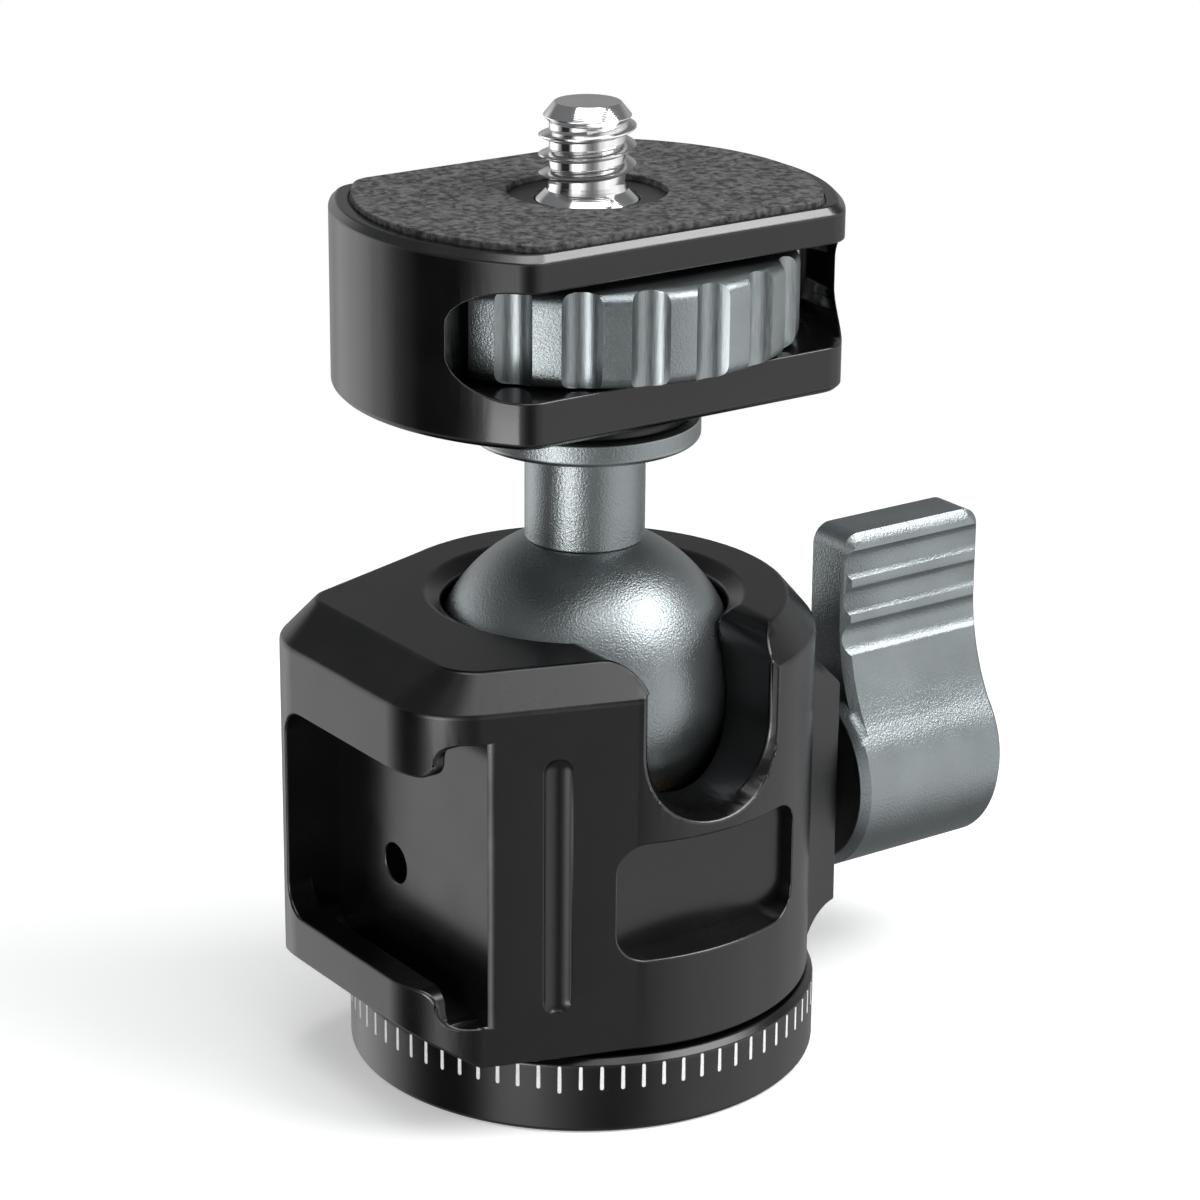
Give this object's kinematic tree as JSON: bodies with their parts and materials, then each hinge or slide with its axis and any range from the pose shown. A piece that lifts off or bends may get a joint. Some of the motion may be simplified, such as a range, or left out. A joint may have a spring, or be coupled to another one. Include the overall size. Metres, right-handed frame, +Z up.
{
  "type": "tripod ball head",
  "caption": "Small tripod ball head: graduated panning base, notched housing with a cold shoe, side clamp lever, and a camera plate whose screw is turned by a thumb wheel.",
  "frame": {"origin": "middle of the base's underside, on the ball's axis, at the mouth of the tripod thread", "axes": "+Z up along the ball's axis at rest, -Y towards the notch, -X towards the cold shoe, +X towards the lever"},
  "size_m": [0.0511, 0.032, 0.0657],
  "materials": {
    "body_black": "satin black anodised",
    "grey_anodised": "fine blasted titanium grey anodised",
    "steel_bush": "turned steel",
    "dark_steel": "blackened steel",
    "screw_chrome": "bright plated",
    "bronze": "turned bearing bronze",
    "plain_alloy": "plain turned",
    "slip_polymer": "smooth slippery polymer",
    "black_polymer": "smooth black polymer",
    "pad_rubber": "grained charcoal rubber"
  },
  "bodies": {
    "base": {"base_ring": "body_black", "base_thread_bush": "steel_bush", "glide_washer": "black_polymer", "pan_retainer": "plain_alloy", "retainer_screws": "dark_steel"},
    "housing_body": {"housing": "body_black", "bearing_plug": "bronze", "pan_washer": "slip_polymer"},
    "seat": {"ball_seat": "bronze"},
    "clamp_screw": {"clamp_stud": "dark_steel"},
    "lever_body": {"lever": "grey_anodised", "lever_washer": "black_polymer", "lever_screw": "dark_steel"},
    "ball_body": {"ball": "grey_anodised"},
    "stem": {"ball_stem": "grey_anodised"},
    "plate": {"top_plate": "body_black", "plate_screw": "dark_steel", "wheel_washer": "black_polymer", "plate_pad": "pad_rubber"},
    "wheel": {"thumb_wheel": "grey_anodised", "camera_screw": "screw_chrome"}
  },
  "joints": [
    {"name": "pan", "type": "hinge", "parent": "base", "child": "housing_body", "pos_m": [0, 0, 0.0057], "axis": [0, 0, 1], "continuous": true},
    {"name": "clamp_feed", "type": "slide", "parent": "housing_body", "child": "clamp_screw", "axis": [1, 0, 0], "range_m": [0, 0.0002777]},
    {"name": "lever_turn", "type": "hinge", "parent": "clamp_screw", "child": "lever_body", "pos_m": [0.0255, 0, 0.0152], "axis": [1, 0, 0], "range_deg": [0, 100]},
    {"name": "seat_drop", "type": "slide", "parent": "housing_body", "child": "seat", "axis": [0, 0, -1], "range_m": [0, 0.00028]},
    {"name": "ball_side_tilt", "type": "hinge", "parent": "housing_body", "child": "ball_body", "pos_m": [0, 0, 0.0266], "axis": [0, 1, 0], "range_deg": [-28, 28]},
    {"name": "ball_fore_tilt", "type": "hinge", "parent": "ball_body", "child": "stem", "pos_m": [0, 0, 0.0266], "axis": [1, 0, 0], "range_deg": [-28, 90]},
    {"name": "ball_spin", "type": "hinge", "parent": "stem", "child": "plate", "pos_m": [0, 0, 0.0449], "axis": [0, 0, 1], "continuous": true},
    {"name": "wheel_turn", "type": "hinge", "parent": "plate", "child": "wheel", "pos_m": [0, 0, 0.0535], "axis": [0, 0, 1], "continuous": true}
  ],
  "couplings": [
    {"joint": "lever_turn", "follows": "clamp_feed", "rad_per_m": 6283.2},
    {"joint": "seat_drop", "follows": "clamp_feed", "ratio": 1}
  ]
}
